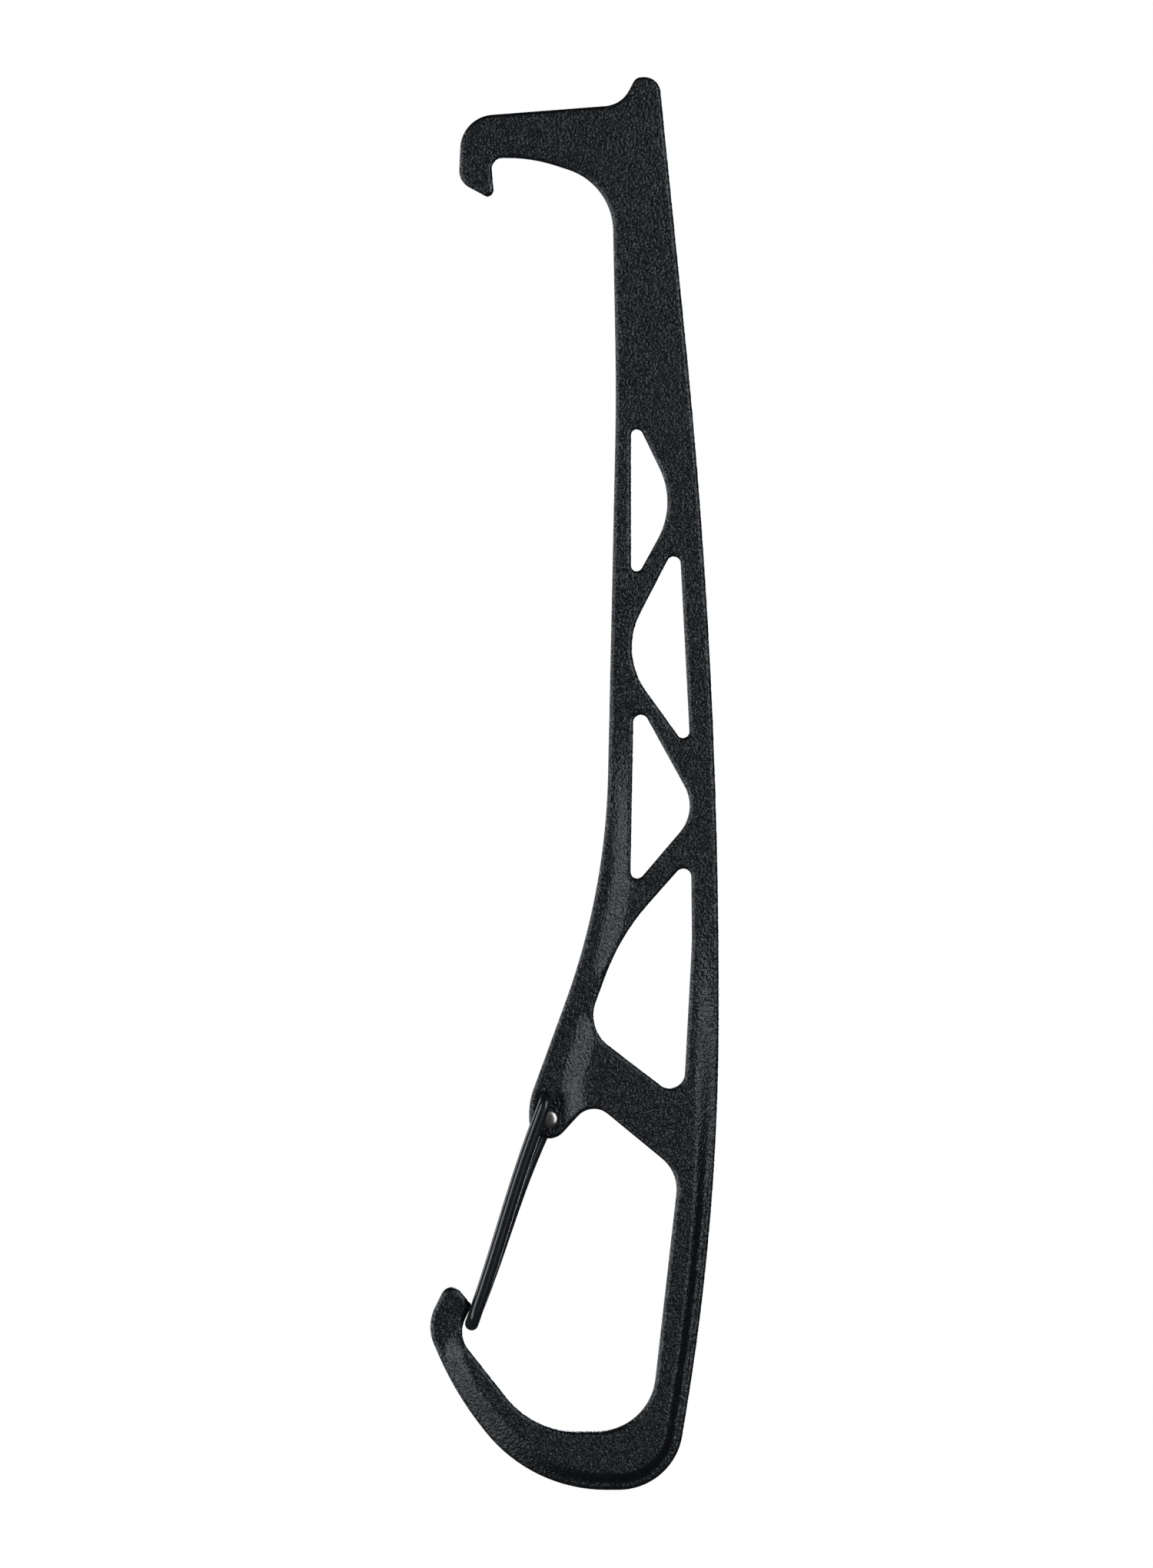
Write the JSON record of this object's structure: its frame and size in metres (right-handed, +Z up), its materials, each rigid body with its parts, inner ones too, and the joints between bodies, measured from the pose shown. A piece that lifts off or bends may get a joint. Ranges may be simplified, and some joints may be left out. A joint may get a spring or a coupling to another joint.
{
  "type": "climbing nut tool with wire gate",
  "caption": "Flat pressed steel nut extractor: hooked blade, open lattice handle and a clip section closed by a sprung wire gate.",
  "frame": {"origin": "on the middle plane of the pressed border, under the middle of the plate's width, at the level of its lowest edge", "axes": "+Z up along the tool to its hook, +X across the plate to its outer rail, +Y through the plate from its front to its back"},
  "size_m": [0.047, 0.0088, 0.2295],
  "materials": {
    "body_coat": "fine textured black powder coat on pressed steel sheet",
    "wire_coat": "semi-gloss black on spring steel wire",
    "peened_steel": "bare peened wire end"
  },
  "bodies": {
    "tool": {"tool_body": "body_coat"},
    "gate_front": {"front_leg": "wire_coat", "upper_pivot_end": "peened_steel"},
    "gate_rear": {"rear_leg": "wire_coat", "lower_pivot_end": "peened_steel"}
  },
  "joints": [
    {"name": "gate_hinge", "type": "hinge", "parent": "tool", "child": "gate_front", "pos_m": [-0.0046, 0, 0.0637], "axis": [0, -1, 0], "range_deg": [0, 32], "stiffness_Nm_per_rad": 0.25, "springref_deg": -17.19},
    {"name": "rear_leg_hinge", "type": "hinge", "parent": "tool", "child": "gate_rear", "pos_m": [-0.0042, 0, 0.0603], "axis": [0, -1, 0], "range_deg": [0, 35]}
  ],
  "couplings": [
    {"joint": "rear_leg_hinge", "follows": "gate_hinge", "ratio": 1.09}
  ]
}
